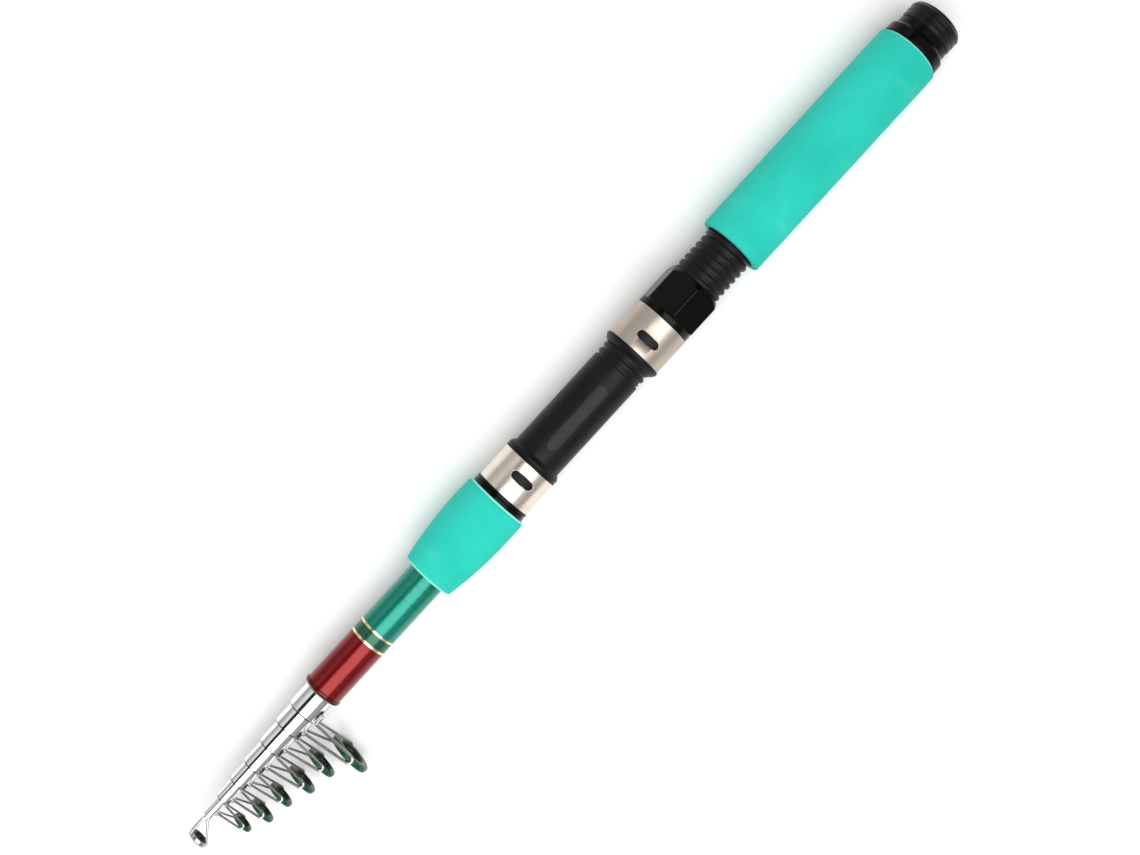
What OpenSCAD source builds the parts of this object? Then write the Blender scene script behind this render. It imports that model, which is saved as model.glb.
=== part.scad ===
// Telescopic spinning rod, collapsed, with a screw-down reel seat and swivelling guides.
// +X runs along the rod from the butt to the tip. +Y is the side that the guides lie to when the
// rod is put down, and -Z is the side that the reel hangs from. The origin is the middle of the
// reel foot's bed, so the rod's own axis runs parallel to X at the height bed_depth.

/* [Reel seat] */
// Radius of the seat's barrel and of its thread's crests
seat_r = 10; // [9.8:0.1:10]
// Distance from the rod's axis to the reel foot's bed
bed_depth = 8.5; // [8.4:0.1:8.7]
// Length of the bed between the hoods
bed_length = 38; // [30:1:40]
// Pitch of the seat's thread
thread_pitch = 2.9; // [2:0.1:3.5]
// Depth of the seat's thread
thread_depth = 0.75; // [0.4:0.05:0.9]
// Radius of the steel shell of the sliding hood
moving_hood_r = 11.5; // [11.3:0.1:11.7]
// Radius of the steel shell of the fixed hood
fixed_hood_r = 11.3; // [11.2:0.1:11.5]
// Radius over the nut's corners
nut_corner_r = 12.25; // [12.1:0.05:12.4]
// Thickness of the steel shells
shell_t = 0.4; // [0.3:0.05:0.5]

/* [Grips and butt] */
// Radius of both foam grips
grip_r = 13; // [13:0.1:14]
// Length of the rear grip
rear_grip_length = 96; // [90:1:100]
// Length of the front grip
fore_grip_length = 38.2; // [34:0.1:38.2]
// Radius of the butt collar's flange
flange_r = 12.06; // [11.6:0.02:12.4]
// Radius of the screwed butt cap
cap_r = 10.8; // [10:0.1:11]
// Pitch of the butt cap's thread
cap_pitch = 1.5; // [1:0.1:1.8]

/* [Rod sections] */
// Outer radius of the handle blank
blank_r = 7.4; // [7.3:0.05:7.4]
// Length of each sliding section
section_length = 320; // [300:1:325]
// Length that stays inside the next section when the rod is drawn out
joint_lap = 26; // [20:1:40]
// Wall thickness at a section's mouth
section_wall = 0.5; // [0.44:0.01:0.5]
// Radial clearance between one section and the next
section_fit = 0.08; // [0.05:0.01:0.1]
// How much a section's butt swells, so that it wedges in the mouth outside it
wedge = 0.12; // [0.1:0.01:0.14]

/* [Guides] */
// How far the guides droop below the horizontal when the rod lies down
guide_droop = 10.5; // [0:0.5:10.5]
// How far the outer edge of each ring leans towards the tip
ring_lean = 5; // [0:1:8]
// Wall of the metal hoop around each ceramic ring
hoop_t = 0.9; // [0.7:0.1:1]

/* [Hidden] */
$fn = 64;
glue_gap = 0.05;                 // between pieces that are glued or pressed together
turn_gap = 0.06;                 // between a turning or sliding piece and what it runs on
axis_z = bed_depth;

// Stations along the rod
seat_rear_x = -81;               // rear end of the barrel, just inside the rear grip
thread_front_x = -19;
seat_front_x = 42.1;
grip_front_x = -79.9;
grip_rear_x = grip_front_x - rear_grip_length;
flange_rear_x = grip_rear_x - 4.1;
collar_rear_x = flange_rear_x - 3.9;
cap_front_x = collar_rear_x - 0.5;
cap_end_x = cap_front_x - 8.7;
blank_rear_x = grip_rear_x - 2.1;
cone_front_x = -85;              // the blank swells from here to the butt
end_ring_x = [42.1, 45];
fore_grip_x = [44.6 + glue_gap, 44.6 + fore_grip_length];
trim_x = [[109.2, 110.1], [114.1, 115.1]];
wrap_x = [115.1, 138.2];
mouth_x = 139.4;                 // front end of the handle blank
mouth_ring_x = [138.2, 140];

// Moving hood and nut, at rest
nut_x = [-61.2, -43.4];
nut_hex_front_x = -45.9;
hood_x = [-43.2, -27.9];
lip_front_x = -24.8;
fixed_lip_x = [23.8, 27.6];
relief = 0.2;                    // the hoods' pockets are cut this much deeper than the bed
relief_x = [-64, seat_front_x];

// Foot arch: the bulge on the reel's side of each hood that the reel's foot slides into
arch_w = 16;
arch_r = 12.9;
arch_corner = 2.5;
pocket_w = 12.4;

// Handle blank
blank_butt_r = 8.4;
blank_bore_butt_r = 7.3;
wrap_seat_r = blank_r - 0.18;    // the blank is this thin under the wrap and the trim rings
handle_mouth_r = 6.2;
ferrule_r = handle_mouth_r + 0.1;

// Sliding sections 2 to 8: outer radius at the tip, and where each one's collar starts and ends
tip_radii = [5.3, 4.6, 3.95, 3.25, 2.6, 1.8, 0.9];
collar_radii = [5.65, 4.95, 4.3, 3.6, 2.95, 2.1];
collar_ends = [149.8, 158, 167.4, 176.8, 185, 193, 200.9];
tip_inset = 0.3;                 // a section ends this far inside its collar's front edge
tip_section_front_x = 202.5;

function tip_r(k) = tip_radii[k - 2];
function tip_x(k) = k == 8 ? tip_section_front_x : collar_ends[k - 1] - tip_inset;
function butt_x(k) = collar_ends[min(k - 1, 6)] - section_length + (k == 8 ? 8 : 0);
function mouth_r(k) = k == 1 ? handle_mouth_r : tip_r(k) - section_wall;
function slide_r(k) = mouth_r(k - 1) - section_fit;
function parallel_length(k) = k == 2 ? 150 : 18;  // from the tip back to where the taper ends

// Guides 1 to 6: ring radius, hole radius, height of the ring's centre over the rod's axis,
// wire radius, width of the hoop, and the stations of the rear foot, the front foot and the ring
ring_r = [8.65, 6.5, 6.4, 5.4, 5.3, 4.15];
hole_r = [4.9, 3.8, 3.6, 3.0, 2.8, 2.2];
ring_height = [23.4, 17.8, 16.7, 14.8, 13.7, 11.3];
wire_r = [0.55, 0.5, 0.5, 0.45, 0.45, 0.4];
hoop_w = [2.0, 1.8, 1.7, 1.6, 1.5, 1.4];
rear_foot_x = [149.7, 159, 168.3, 177.85, 186.1, 193.9];
front_foot_x = [154.9, 164.1, 173.3, 182, 190.4, 197.9];
ring_x = [150.4, 159.8, 169, 178.2, 187, 195];
foot_spread = 0.45;              // sideways reach of a foot, as a share of the collar's radius

// Tip-top
tip_tube_r = 1.22;
tip_tube_x = [194, 203];
tip_ring_r = 4;
tip_hole_r = 2.1;
tip_ring_x = 209.6;
tip_ring_height = 3.1;
tip_wire_r = 0.45;
tip_arm_spread = 0.75;
tip_arm_reach = 1.6;

foam = [0.21, 0.86, 0.78];
black = [0.07, 0.07, 0.08];
steel = [0.7, 0.67, 0.63];
chrome = [0.85, 0.86, 0.88];
teal = [0.08, 0.5, 0.41];
dark_green = [0.2, 0.42, 0.32];
gold = [0.92, 0.88, 0.74];
red = [0.5, 0.06, 0.07];
dark_red = [0.25, 0.02, 0.03];
ring_green = [0.16, 0.4, 0.24];

// Puts a shape drawn along Z onto the rod's axis: Z becomes X, and X becomes Y
module on_axis(x = 0) {
    translate([x, 0, axis_z]) rotate([90, 0, 90]) children();
}

// A solid of revolution about the rod's axis, from points given as [radius, station]
module turned(points) {
    on_axis() rotate_extrude() polygon(points);
}

module sleeve(x, r_in, r_out) {
    turned([[r_in, x[0]], [r_out, x[0]], [r_out, x[1]], [r_in, x[1]]]);
}

// A sleeve whose outer edges are chamfered
module bevelled_sleeve(x, r_in, r_out, bevel) {
    turned([[r_in, x[0]], [r_out - bevel, x[0]], [r_out, x[0] + bevel],
            [r_out, x[1] - bevel], [r_out - bevel, x[1]], [r_in, x[1]]]);
}

// Outline of a slot with round ends, its long side along X
module obround(length, width) {
    r = width / 2;
    reach = length / 2 - r;
    polygon(concat(
        [for (a = [-90:15:90]) [reach + r * cos(a), r * sin(a)]],
        [for (a = [90:15:270]) [-reach + r * cos(a), r * sin(a)]]));
}

// Outline of the foot arch from the rod's axis down to its flat crown
module arch_outline(inset) {
    r = arch_corner - inset;
    x = arch_w / 2 - arch_corner;
    y = -(arch_r - arch_corner);
    polygon(concat(
        [[x + r, 0], [-x - r, 0]],
        [for (a = [180:15:270]) [-x + r * cos(a), y + r * sin(a)]],
        [for (a = [270:15:360]) [x + r * cos(a), y + r * sin(a)]]));
}

module arch_prism(x, inset) {
    on_axis(x[0]) linear_extrude(x[1] - x[0]) arch_outline(inset);
}

// Space for the end of a reel's foot, from the bed to the crown of the arch
module foot_pocket(x) {
    depth = arch_r - shell_t - bed_depth + relief;
    translate([x[0], -pocket_w / 2, relief - depth])
        cube([x[1] - x[0], pocket_w, depth]);
}

// Straight round wire from a to b
module wire(a, b, r) {
    d = b - a;
    length = norm(d);
    translate(a)
        rotate([0, acos(d[2] / length), atan2(d[1], d[0])])
            cylinder(h = length, r = r, $fn = 24);
}

module blob(at, r) {
    translate(at) sphere(r = r, $fn = 24);
}

/* Butt */

module butt_cap() {
    rib_h = 0.3;
    ribs = 3;
    rib_pitch = (cap_front_x - cap_end_x - 2.3) / ribs;
    dome = [for (a = [15:15:75])
        [2.9 + (cap_r - 3.4) * sin(a), cap_end_x + 2.3 * (1 - cos(a))]];
    side = [for (i = [0:ribs - 1], p = [[0.15, 0], [0.3, rib_h], [0.75, rib_h], [0.9, 0]])
        [cap_r - rib_h + p[1], cap_end_x + 2.3 + (i + p[0]) * rib_pitch]];
    stem_x = cap_front_x + 12;
    stem_r = 6.5;
    thread = [for (i = [0:5], p = [[0.1, -0.3], [0.35, 0], [0.6, 0], [0.85, -0.3]])
        [stem_r + p[1], cap_front_x + 1 + (i + p[0]) * cap_pitch]];
    color(black)
        turned(concat(
            [[0, cap_end_x], [2.9, cap_end_x]], dome, side,
            [[cap_r - 0.2, cap_front_x], [stem_r - 0.3, cap_front_x]], thread,
            [[stem_r - 0.3, stem_x], [5, stem_x], [5, stem_x - 8], [0, stem_x - 8]]));
}

module cap_cushion() {
    x = cap_front_x + 12;
    color([0.25, 0.25, 0.25])
        turned([[0, x - 7.95], [4.9, x - 7.95], [4.9, x + 0.6], [4.4, x + 1], [0, x + 1]]);
}

module cap_washer() {
    color([0.04, 0.04, 0.04])
        sleeve([cap_front_x + 0.05, collar_rear_x - 0.05], 6.6, cap_r - 0.6);
}

module butt_collar() {
    color(black)
        turned([[6.6, collar_rear_x], [cap_r - 0.3, collar_rear_x], [cap_r, collar_rear_x + 0.3],
                [cap_r + 0.4, flange_rear_x], [flange_r - 0.3, flange_rear_x + 0.3],
                [flange_r, flange_rear_x + 0.8], [flange_r, grip_rear_x - 0.1],
                [blank_butt_r + glue_gap, grip_rear_x - 0.1],
                [blank_butt_r + glue_gap, blank_rear_x - glue_gap],
                [blank_bore_butt_r - 0.15, blank_rear_x - glue_gap],
                [blank_bore_butt_r - 0.25, blank_rear_x + 9], [6.6, blank_rear_x + 9]]);
}

/* Handle */

module handle_blank() {
    bore_r = handle_mouth_r + wedge;
    color(teal)
        turned([[blank_bore_butt_r, blank_rear_x], [blank_butt_r, blank_rear_x],
                [blank_r, cone_front_x], [blank_r, trim_x[0][0]], [wrap_seat_r, trim_x[0][0]],
                [wrap_seat_r, mouth_x], [handle_mouth_r, mouth_x],
                [bore_r, mouth_x - joint_lap], [bore_r, cone_front_x]]);
}

module rear_grip() {
    edge = 1.8;
    front = 1.0;
    rear_arc = [for (a = [0:22.5:90])
        [grip_r - edge + edge * sin(a), grip_rear_x + edge * (1 - cos(a))]];
    front_arc = [for (a = [0:30:90])
        [grip_r - front + front * cos(a), grip_front_x - front + front * sin(a)]];
    color(foam)
        turned(concat(
            rear_arc, front_arc,
            [[seat_r + 0.4, grip_front_x], [seat_r + 0.4, seat_rear_x - 0.4],
             [blank_r + glue_gap, seat_rear_x - 0.4], [blank_r + glue_gap, cone_front_x],
             [blank_butt_r + glue_gap, grip_rear_x]]));
}

module fore_grip() {
    x0 = fore_grip_x[0];
    taper_x = x0 + 8;
    round_x = fore_grip_x[1] - 1.2;
    drop = 2.5;
    steps = 12;
    taper = [for (i = [0:steps]) let (u = i / steps)
        [grip_r - drop * u * u, taper_x + u * (round_x - taper_x)]];
    color(foam)
        turned(concat(
            [[blank_r + glue_gap, x0 + 0.4], [11.9, x0 + 0.4], [12.5, x0 + 0.7],
             [grip_r - 0.1, x0 + 2]],
            taper,
            [[grip_r - drop - 0.3, fore_grip_x[1] - 0.3], [grip_r - drop - 0.8, fore_grip_x[1]],
             [blank_r + glue_gap, fore_grip_x[1]]]));
}

module trim_rings() {
    color(gold)
        for (x = trim_x)
            sleeve([x[0] + 0.02, x[1] - 0.02], wrap_seat_r + 0.02, blank_r + 0.02);
}

module dark_band() {
    color(dark_green)
        sleeve([trim_x[0][1] + 0.02, trim_x[1][0] - 0.02], wrap_seat_r + 0.02, blank_r);
}

module red_wrap() {
    color(red)
        sleeve([wrap_x[0] + 0.02, wrap_x[1] - 0.02], wrap_seat_r + 0.02, blank_r + 0.05);
}

module mouth_ring() {
    lip_r = handle_mouth_r + 0.05;
    outer_r = blank_r + 0.5;
    color(dark_red)
        turned([[wrap_seat_r + 0.02, mouth_ring_x[0]], [outer_r - 0.3, mouth_ring_x[0]],
                [outer_r, mouth_ring_x[0] + 0.4], [outer_r, mouth_ring_x[1] - 0.5],
                [outer_r - 0.5, mouth_ring_x[1]], [lip_r, mouth_ring_x[1]],
                [lip_r, mouth_x + 0.02], [wrap_seat_r + 0.02, mouth_x + 0.02]]);
}

/* Reel seat */

module badge_outline(inset) {
    translate([3.8, 1.3]) obround(30.6 - 2 * inset, 4.7 - 2 * inset);
}

module seat_barrel() {
    root_r = seat_r - thread_depth;
    turns = floor((thread_front_x - seat_rear_x - 1) / thread_pitch);
    ridges = [for (i = [0:turns - 1], p = [[0.1, 0], [0.35, 1], [0.6, 1], [0.85, 0]])
        [root_r + thread_depth * p[1], seat_rear_x + 0.8 + (i + p[0]) * thread_pitch]];
    cut = 4;
    color(black)
        difference() {
            turned(concat(
                [[blank_r + glue_gap, seat_rear_x], [root_r, seat_rear_x]], ridges,
                [[root_r, thread_front_x - 0.3], [seat_r, thread_front_x],
                 [seat_r, seat_front_x], [blank_r + glue_gap, seat_front_x]]));
            translate([-bed_length / 2, -seat_r, -cut]) cube([bed_length, 2 * seat_r, cut]);
            for (x = [[relief_x[0], -bed_length / 2], [bed_length / 2, relief_x[1] + 1]])
                translate([x[0], -seat_r, relief - cut])
                    cube([x[1] - x[0], 2 * seat_r, cut]);
            intersection() {
                sleeve([-20, 30], seat_r - 0.3, seat_r + 1);
                translate([0, 0, axis_z]) linear_extrude(seat_r + 2) badge_outline(0);
            }
        }
}

module seat_badge() {
    color([0.25, 0.26, 0.27])
        intersection() {
            sleeve([-20, 30], seat_r - 0.28, seat_r - 0.02);
            translate([0, 0, axis_z]) linear_extrude(seat_r + 2) badge_outline(glue_gap);
        }
}

module seat_nut() {
    corner_angle = 20.5;             // turns one corner to 9.5 degrees from the top
    length = nut_x[1] - nut_x[0];
    neck = 2.9;
    bore_r = seat_r + turn_gap;
    color(black)
        difference() {
            union() {
                intersection() {
                    on_axis(nut_x[0])
                        linear_extrude(nut_hex_front_x - nut_x[0])
                            rotate(corner_angle) circle(r = nut_corner_r, $fn = 6);
                    turned([[0, nut_x[0]], [10.5, nut_x[0]], [nut_corner_r + 0.2, nut_x[0] + neck],
                            [nut_corner_r + 0.2, nut_hex_front_x - 0.6],
                            [11.4, nut_hex_front_x], [0, nut_hex_front_x]]);
                }
                turned([[0, nut_hex_front_x - 0.5], [moving_hood_r - 0.1, nut_hex_front_x - 0.5],
                        [moving_hood_r - 0.1, nut_x[1] - 0.3], [moving_hood_r - 0.4, nut_x[1]],
                        [0, nut_x[1]]]);
            }
            on_axis(nut_x[0] - 1) cylinder(r = bore_r, h = length + 2);
            on_axis(nut_hex_front_x) cylinder(r = bore_r + 0.7, h = 5);
        }
}

// Steel shell of a hood: a round tube with the foot arch, and a window on the side away from the reel
module hood_shell(x, r, window) {
    difference() {
        union() {
            on_axis(x[0]) cylinder(r = r, h = x[1] - x[0]);
            arch_prism(x, 0);
        }
        on_axis(x[0] - 1) cylinder(r = r - shell_t, h = x[1] - x[0] + 2);
        arch_prism([x[0] - 1, x[1] + 1], shell_t);
        translate([window[0], window[1], axis_z])
            linear_extrude(r + 2) rotate(90) obround(window[3], window[2]);
    }
}

module moving_hood_shell() {
    color(steel) hood_shell(hood_x, moving_hood_r, [-34, 1, 3.2, 9.5]);
}

module moving_hood_liner() {
    bore_r = seat_r + turn_gap;
    fill_r = moving_hood_r - shell_t - glue_gap;
    lip_x = [hood_x[1], lip_front_x];
    color(black)
        difference() {
            union() {
                turned([[0, nut_hex_front_x + 0.2], [bore_r + 0.6, nut_hex_front_x + 0.2],
                        [bore_r + 0.6, hood_x[0]], [fill_r, hood_x[0]],
                        [fill_r, lip_x[0] + 0.02], [moving_hood_r + 0.4, lip_x[0] + 0.02],
                        [moving_hood_r + 0.4, lip_x[0] + 1], [seat_r + 0.4, lip_x[1]],
                        [0, lip_x[1]]]);
                arch_prism(hood_x, shell_t + glue_gap);
                arch_prism([lip_x[0] + 0.02, lip_x[0] + 1.2], 0);
            }
            on_axis(nut_x[0]) cylinder(r = bore_r, h = 60);
            foot_pocket([hood_x[0] + 3, lip_front_x + 1]);
        }
}

module fixed_hood_shell() {
    color(steel) hood_shell([fixed_lip_x[1], seat_front_x], fixed_hood_r, [33.5, 1.8, 3.1, 9.4]);
}

module fixed_hood_liner() {
    fill_r = fixed_hood_r - shell_t - glue_gap;
    color(black)
        difference() {
            union() {
                turned([[0, fixed_lip_x[0]], [seat_r + 0.15, fixed_lip_x[0]],
                        [fixed_hood_r + 0.1, fixed_lip_x[0] + 1.8],
                        [fixed_hood_r + 0.1, fixed_lip_x[1] - 0.02],
                        [fill_r, fixed_lip_x[1] - 0.02],
                        [fill_r, seat_front_x - glue_gap], [0, seat_front_x - glue_gap]]);
                arch_prism([fixed_lip_x[0] + 1.2, fixed_lip_x[1] - 0.02], 0);
                arch_prism([fixed_lip_x[1] - 0.1, seat_front_x - glue_gap],
                           shell_t + glue_gap);
            }
            on_axis(0) cylinder(r = seat_r + glue_gap, h = 60);
            foot_pocket([fixed_lip_x[0] - 1, seat_front_x - 3]);
        }
}

module seat_end_ring() {
    r = fixed_hood_r + 0.4;
    groove_x = 43.6;
    color(black)
        turned([[blank_r + glue_gap, end_ring_x[0] + 0.05], [r - 0.2, end_ring_x[0] + 0.05],
                [r, end_ring_x[0] + 0.3], [r, groove_x - 0.3], [r - 0.4, groove_x - 0.1],
                [r - 0.4, groove_x + 0.1], [r, groove_x + 0.3], [r, end_ring_x[1] - 0.3],
                [r - 0.4, end_ring_x[1]], [blank_r + glue_gap, end_ring_x[1]]]);
}

/* Rod sections */

module section(k) {
    x0 = butt_x(k);
    x1 = tip_x(k);
    bore = mouth_r(k) + wedge;
    outside = [[slide_r(k) + wedge, x0], [slide_r(k), x0 + joint_lap],
               [tip_r(k), x1 - parallel_length(k)], [tip_r(k), x1]];
    inside = k == 8
        ? [[0, x1], [0, x0]]
        : [[mouth_r(k), x1], [bore, x1 - joint_lap], [bore, x0]];
    color(k == 8 ? chrome : teal * 0.8) turned(concat(outside, inside));
}

module stop_ferrule() {
    color(chrome)
        bevelled_sleeve([mouth_ring_x[1] + 0.3, collar_ends[0] - 0.05], tip_r(2) + glue_gap,
                        ferrule_r, 0.25);
}

module guide_collar(k) {
    color(chrome)
        bevelled_sleeve([collar_ends[k - 1] + 0.1, collar_ends[k]], tip_r(k + 1) + glue_gap,
                        collar_radii[k - 1], 0.15);
}

/* Guides */

// Turns a guide drawn pointing along +Y on the rod's axis to the way that it lies at rest
module as_laid() {
    translate([0, 0, axis_z]) rotate([-guide_droop, 0, 0]) children();
}

// Places a ring or hoop, drawn around Z, at the given station and height, with its lean
module at_ring(x, height) {
    translate([x, height, 0]) rotate([0, 0, -ring_lean]) rotate([90, 0, 90]) children();
}

module hoop(r, width) {
    edge = 0.25;
    w = width / 2;
    rotate_extrude()
        polygon([[r - hoop_t, -w], [r - edge, -w], [r, -w + edge], [r, w - edge],
                 [r - edge, w], [r - hoop_t, w]]);
}

// Ceramic ring: a band whose inner edge is rounded for the line
module line_ring(r, hole, width) {
    outer = r - hoop_t - 0.02;
    w = width / 2;
    rotate_extrude()
        polygon(concat(
            [[outer, w], [outer, -w]],
            [for (a = [-90:22.5:90]) [hole + w - w * cos(a), w * sin(a)]]));
}

// Height of a foot's centre line over the axis: it bites a little into the round surface below it
function foot_height(surface_r, side, r) = sqrt(surface_r * surface_r - side * side) + 0.85 * r;

// Foot of a wire, lying along the rod
module foot(at, back, front, r) {
    translate([at[0] - back, at[1], at[2]]) rotate([0, 90, 0]) cylinder(h = back + front, r = r);
}

module guide_frame(k) {
    i = k - 1;
    r = wire_r[i];
    side = collar_radii[i] * foot_spread;
    rear_h = foot_height(k == 1 ? ferrule_r : collar_radii[i], side, r);
    front_h = foot_height(collar_radii[i], side, r);
    rear_reach = k == 1 ? 4.1 : 0.8;
    apex_w = ring_r[i] + 0.6 * r;
    color(chrome)
        as_laid() {
            at_ring(ring_x[i], ring_height[i]) hoop(ring_r[i], hoop_w[i]);
            for (s = [-1, 1]) {
                rear = [rear_foot_x[i], rear_h, s * side];
                front = [front_foot_x[i], front_h, s * side];
                apex = [ring_x[i], ring_height[i], s * apex_w];
                wire(rear, apex, r);
                wire(front, apex, r);
                translate(apex) cylinder(h = 2.8 * r, r = 1.3 * r, center = true);
                foot(rear, rear_reach, 0.8, 1.1 * r);
                foot(front, 0.8, 1.0, 1.1 * r);
            }
        }
}

module guide_ring(k) {
    i = k - 1;
    color(ring_green)
        as_laid()
            at_ring(ring_x[i], ring_height[i]) line_ring(ring_r[i], hole_r[i], hoop_w[i] + 0.5);
}

/* Tip-top */

module tip_tube() {
    color(chrome) sleeve(tip_tube_x, tip_r(8) + glue_gap, tip_tube_r);
}

module tip_frame() {
    w = 1.8;
    near = tip_ring_height - tip_ring_r + 0.2;
    far = tip_ring_height + tip_ring_r - 0.2;
    color(chrome)
        as_laid() {
            at_ring(tip_ring_x, tip_ring_height) hoop(tip_ring_r, w);
            for (s = [-1, 1]) {
                root = [tip_tube_x[1] - 0.6, -0.7, s * tip_arm_spread];
                end = [tip_ring_x - 0.3, near + 0.3, s * tip_arm_reach];
                wire(root, end, tip_wire_r);
                blob(root, 1.15 * tip_wire_r);
                blob(end, 1.2 * tip_wire_r);
            }
            brace_root = [tip_tube_x[1] - 0.6, tip_tube_r, 0];
            brace_end = [tip_ring_x + 0.2, far, 0];
            wire(brace_root, brace_end, tip_wire_r);
            blob(brace_root, 1.15 * tip_wire_r);
            blob(brace_end, 1.2 * tip_wire_r);
        }
}

module tip_ring() {
    color(ring_green)
        as_laid()
            at_ring(tip_ring_x, tip_ring_height) line_ring(tip_ring_r, tip_hole_r, 2.2);
}

butt_cap();
cap_cushion();
cap_washer();
butt_collar();
rear_grip();
handle_blank();
seat_barrel();
seat_badge();
seat_nut();
moving_hood_shell();
moving_hood_liner();
fixed_hood_shell();
fixed_hood_liner();
seat_end_ring();
fore_grip();
trim_rings();
dark_band();
red_wrap();
mouth_ring();
stop_ferrule();
for (k = [2:8]) section(k);
for (k = [1:6]) guide_collar(k);
for (k = [1:6]) guide_frame(k);
for (k = [1:6]) guide_ring(k);
tip_tube();
tip_frame();
tip_ring();
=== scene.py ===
"""Looks of a collapsed telescopic spinning rod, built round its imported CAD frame.

The rod lies along X, its guides point to +Y and its reel seat's bed faces -Z.
Sizes are in millimetres, and become metres when a mesh or a light is made.
"""

import math

import bmesh
import bpy
from mathutils import Matrix, Vector, noise


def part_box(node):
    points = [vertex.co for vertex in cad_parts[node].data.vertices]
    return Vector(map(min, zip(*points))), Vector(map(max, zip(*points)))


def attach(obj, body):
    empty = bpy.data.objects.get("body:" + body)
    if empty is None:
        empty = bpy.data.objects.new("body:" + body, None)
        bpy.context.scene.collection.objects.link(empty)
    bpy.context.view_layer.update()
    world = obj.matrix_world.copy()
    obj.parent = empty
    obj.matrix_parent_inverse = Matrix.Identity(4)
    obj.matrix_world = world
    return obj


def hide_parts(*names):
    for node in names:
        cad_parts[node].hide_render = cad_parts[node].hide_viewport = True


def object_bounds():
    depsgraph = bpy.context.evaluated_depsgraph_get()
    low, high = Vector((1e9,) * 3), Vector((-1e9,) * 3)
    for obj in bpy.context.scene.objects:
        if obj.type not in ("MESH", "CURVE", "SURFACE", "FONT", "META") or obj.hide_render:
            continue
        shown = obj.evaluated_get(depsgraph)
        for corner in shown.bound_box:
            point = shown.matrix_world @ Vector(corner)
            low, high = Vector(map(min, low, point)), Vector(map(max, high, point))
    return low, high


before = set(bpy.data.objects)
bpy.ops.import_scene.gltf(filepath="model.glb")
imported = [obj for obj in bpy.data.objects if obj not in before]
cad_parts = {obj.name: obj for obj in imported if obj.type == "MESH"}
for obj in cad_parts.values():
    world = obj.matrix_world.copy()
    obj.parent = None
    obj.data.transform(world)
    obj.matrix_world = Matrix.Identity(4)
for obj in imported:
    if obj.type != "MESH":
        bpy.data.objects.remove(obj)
cad_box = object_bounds()

MM = 0.001
TURN = 2 * math.pi
SEGMENTS = 144


def span(node):
    """First and last station of a CAD node along the rod."""
    low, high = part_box(node)
    return low.x / MM, high.x / MM


def outer_radius(node):
    """Outer radius of a CAD node that is round about the rod's axis."""
    low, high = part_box(node)
    return (high.y - low.y) / 2 / MM


def box_centre(node):
    """Centre of a CAD node's box."""
    low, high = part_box(node)
    return (low + high) / 2 / MM


AXIS_Z = box_centre("handle_blank").z
ON_AXIS = Matrix.Translation((0, 0, AXIS_Z))
BORE_R = outer_radius("handle_blank") - 1.0    # the blank's radius in front of its swollen butt
CONE_X = -85.0                                 # the blank swells from here to its butt
MOUTH_R = 6.2                                  # radius of the blank's mouth
LAP = 26.0                                     # length of a section that stays in the one outside it
GLUE = 0.05                                    # gap between pieces that are glued or pressed together
RUNNING = 0.06                                 # gap between a sliding or turning piece and its track


# ---------------------------------------------------------------- shapes

def rounded(corners, steps=5):
    """Outline through (x, radius, fillet) corners, with a small arc at each corner that has a fillet."""
    points = []
    for i, (x, r, fillet) in enumerate(corners):
        here = Vector((x, r))
        if fillet == 0:
            points.append((x, r))
            continue
        back = Vector(corners[i - 1][:2]) - here
        ahead = Vector(corners[(i + 1) % len(corners)][:2]) - here
        reach = min(fillet / math.tan(back.angle(ahead) / 2), 0.45 * back.length, 0.45 * ahead.length)
        start = here + reach * back.normalized()
        end = here + reach * ahead.normalized()
        for step in range(steps + 1):
            t = step / steps
            points.append(tuple((1 - t) ** 2 * start + 2 * t * (1 - t) * here + t * t * end))
    return points


def densely(points, longest):
    """The same outline with extra points, so that no step is longer than the given length."""
    fine = []
    for (x0, r0), (x1, r1) in zip(points, points[1:]):
        count = max(1, math.ceil(math.hypot(x1 - x0, r1 - r0) / longest))
        fine += [(x0 + (x1 - x0) * i / count, r0 + (r1 - r0) * i / count) for i in range(count)]
    return fine + [points[-1]]


def smooth_max(a, b, blend):
    """The larger of two sizes, with a rounded change from one to the other."""
    return (a + b + math.hypot(a - b, blend)) / 2


def smooth_min(a, b, blend):
    """The smaller of two sizes, with a rounded change from one to the other."""
    return (a + b - math.hypot(a - b, blend)) / 2


def ease(t):
    """Smooth rise from 0 to 1 as t goes from 0 to 1."""
    t = min(max(t, 0.0), 1.0)
    return t * t * (3 - 2 * t)


def around(rows, place=ON_AXIS, segments=SEGMENTS, start=0.0):
    """Rings about place's X axis, from rows of (station, radius). A radius may depend on the angle,
    which runs from the top towards the guides' side."""
    rings = []
    for x, shape in rows:
        if not callable(shape) and shape < 1e-6:
            rings.append([place @ Vector((x, 0, 0))])
            continue
        ring = []
        for i in range(segments):
            angle = start + TURN * i / segments
            r = shape(angle) if callable(shape) else shape
            ring.append(place @ Vector((x, r * math.sin(angle), r * math.cos(angle))))
        rings.append(ring)
    return rings


def along(path, radii, place, sides=16):
    """Rings of a round wire along a path of points, with one radius for each point."""
    path = [Vector(p) for p in path]
    count = len(path)
    normal = (path[1] - path[0]).orthogonal().normalized()
    rings = []
    for i, here in enumerate(path):
        heading = (path[min(i + 1, count - 1)] - path[max(i - 1, 0)]).normalized()
        normal = (normal - heading * normal.dot(heading)).normalized()
        side = heading.cross(normal)
        rings.append([
            place @ (here + radii[i] * (math.cos(a) * normal + math.sin(a) * side))
            for a in (TURN * j / sides for j in range(sides))])
    return rings


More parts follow.
